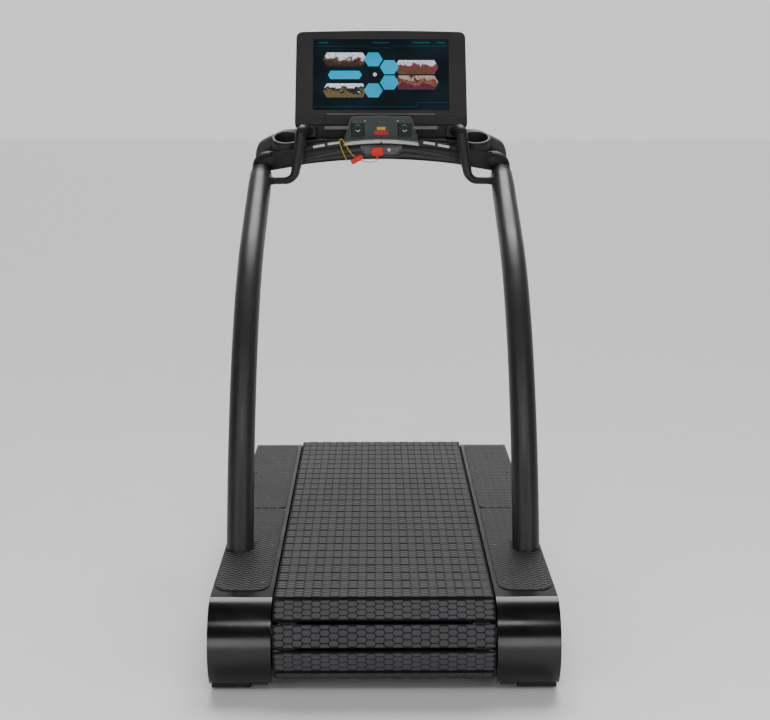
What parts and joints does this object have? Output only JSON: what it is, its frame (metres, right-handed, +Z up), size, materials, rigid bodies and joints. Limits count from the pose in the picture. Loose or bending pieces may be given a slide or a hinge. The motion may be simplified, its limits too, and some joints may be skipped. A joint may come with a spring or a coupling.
{
  "type": "treadmill",
  "caption": "Motorised slat-belt treadmill with flat rubber-tread deck, side step platforms, swept tube uprights, console with screen, J-shaped grips, cup holders and stop button.",
  "frame": {"origin": "centre of the footprint on the floor, midway between the rearmost and foremost points", "axes": "+Z up, +Y forward the way the runner faces, +X to the runner's right"},
  "size_m": [0.89, 1.803, 1.6917],
  "materials": {
    "tread_rubber": "matte embossed rubber",
    "bar_aluminium": "extruded",
    "belt_rubber": "matte",
    "machined_steel": "turned",
    "frame_paint": "satin powder coat",
    "motor_paint": "satin",
    "wheel_rubber": "matte",
    "cover_paint": "satin powder coat",
    "pad_rubber": "ribbed",
    "screw_black": "black oxide",
    "upright_paint": "satin powder coat",
    "grip_plastic": "soft touch",
    "console_plastic": "fine texture",
    "pod_plastic": "satin",
    "key_plastic": "satin",
    "cup_plastic": "moulded",
    "satin_metal": "brushed",
    "red_plastic": "moulded",
    "jack_plastic": "moulded",
    "screen_plastic": "fine texture",
    "display_glass": "lit screen",
    "yellow_cord": "braided"
  },
  "bodies": {
    "frame": {"axle_bearings": "machined_steel", "bearing_rails": "frame_paint", "console_lower_shell": "console_plastic", "console_tray": "console_plastic", "console_wing_left": "console_plastic", "console_wing_right": "console_plastic", "contact_plates": "satin_metal", "control_pod": "pod_plastic", "cup_holders": "cup_plastic", "display_panel": "display_glass", "drive_belt": "belt_rubber", "drive_motor": "motor_paint", "frame_crossmembers": "frame_paint", "frame_rails": "frame_paint", "front_hood": "cover_paint", "handle_left": "grip_plastic", "handle_right": "grip_plastic", "headphone_jack": "jack_plastic", "lift_gearmotor": "motor_paint", "power_inlet": "jack_plastic", "rear_feet": "wheel_rubber", "screen_back_shell": "screen_plastic", "screen_bezel": "screen_plastic", "screen_bracket": "frame_paint", "side_belts": "belt_rubber", "side_cover_left": "cover_paint", "side_cover_right": "cover_paint", "step_pad_screws": "screw_black", "step_pads_front": "pad_rubber", "step_pads_rear": "pad_rubber", "support_brackets": "frame_paint", "track_rollers": "machined_steel", "trim_strip": "satin_metal", "upright_collars": "upright_paint", "upright_left": "upright_paint", "upright_right": "upright_paint"},
    "belt_top": {"belt_treads_top": "tread_rubber", "belt_bars_top": "bar_aluminium"},
    "belt_bottom": {"belt_treads_bottom": "tread_rubber", "belt_bars_bottom": "bar_aluminium"},
    "rear_drum": {"rear_axle": "machined_steel", "rear_pulleys": "machined_steel", "belt_treads_rear": "tread_rubber", "belt_bars_rear": "bar_aluminium"},
    "front_drum": {"front_axle": "machined_steel", "front_pulleys": "machined_steel", "belt_treads_front": "tread_rubber", "belt_bars_front": "bar_aluminium"},
    "motor_rotor": {"motor_rotor": "machined_steel"},
    "lift_arms": {"lift_arms": "machined_steel"},
    "lift_wheel_left": {"lift_wheel_left": "wheel_rubber"},
    "lift_wheel_right": {"lift_wheel_right": "wheel_rubber"},
    "left_key": {"rocker_key_left": "key_plastic"},
    "right_key": {"rocker_key_right": "key_plastic"},
    "stop_button": {"stop_button": "red_plastic"},
    "safety_lanyard": {"safety_key": "red_plastic", "lanyard_cord": "yellow_cord", "lanyard_clip": "red_plastic"}
  },
  "joints": [
    {"name": "front_drum_spin", "type": "hinge", "parent": "frame", "child": "front_drum", "pos_m": [0, 0.71223, 0.13451], "axis": [1, 0, 0], "range_deg": [0, 36]},
    {"name": "rear_drum_spin", "type": "hinge", "parent": "frame", "child": "rear_drum", "pos_m": [0, -0.78777, 0.13451], "axis": [1, 0, 0], "range_deg": [0, 36]},
    {"name": "top_run_travel", "type": "slide", "parent": "frame", "child": "belt_top", "axis": [0, -1, 0], "range_m": [0, 0.06]},
    {"name": "bottom_run_travel", "type": "slide", "parent": "frame", "child": "belt_bottom", "axis": [0, 1, 0], "range_m": [0, 0.06]},
    {"name": "motor_spin", "type": "hinge", "parent": "frame", "child": "motor_rotor", "pos_m": [-0.3, 0.60223, 0.13451], "axis": [1, 0, 0], "range_deg": [0, 90]},
    {"name": "incline_lift", "type": "hinge", "parent": "frame", "child": "lift_arms", "pos_m": [0, 0.49223, 0.13], "axis": [-1, 0, 0], "range_deg": [0, 43]},
    {"name": "left_wheel_roll", "type": "hinge", "parent": "lift_arms", "child": "lift_wheel_left", "pos_m": [-0.396, 0.7768, 0.035], "axis": [1, 0, 0], "continuous": true},
    {"name": "right_wheel_roll", "type": "hinge", "parent": "lift_arms", "child": "lift_wheel_right", "pos_m": [0.396, 0.7768, 0.035], "axis": [1, 0, 0], "continuous": true},
    {"name": "left_key_rock", "type": "hinge", "parent": "frame", "child": "left_key", "pos_m": [-0.079, 0.64807, 1.35966], "axis": [1, 0, 0], "range_deg": [-4, 4], "stiffness_Nm_per_rad": 1.5},
    {"name": "right_key_rock", "type": "hinge", "parent": "frame", "child": "right_key", "pos_m": [0.079, 0.64807, 1.35966], "axis": [1, 0, 0], "range_deg": [-4, 4], "stiffness_Nm_per_rad": 1.5},
    {"name": "stop_button_press", "type": "slide", "parent": "frame", "child": "stop_button", "axis": [0, 1, 0], "range_m": [0, 0.003], "stiffness_N_per_m": 800},
    {"name": "safety_key_pull", "type": "slide", "parent": "frame", "child": "safety_lanyard", "axis": [0, -1, 0], "range_m": [0, 0.05]}
  ],
  "couplings": [
    {"joint": "rear_drum_spin", "follows": "front_drum_spin", "ratio": 1},
    {"joint": "top_run_travel", "follows": "front_drum_spin", "m_per_rad": 0.095493},
    {"joint": "bottom_run_travel", "follows": "front_drum_spin", "m_per_rad": 0.095493},
    {"joint": "motor_spin", "follows": "front_drum_spin", "ratio": 2.3636}
  ]
}
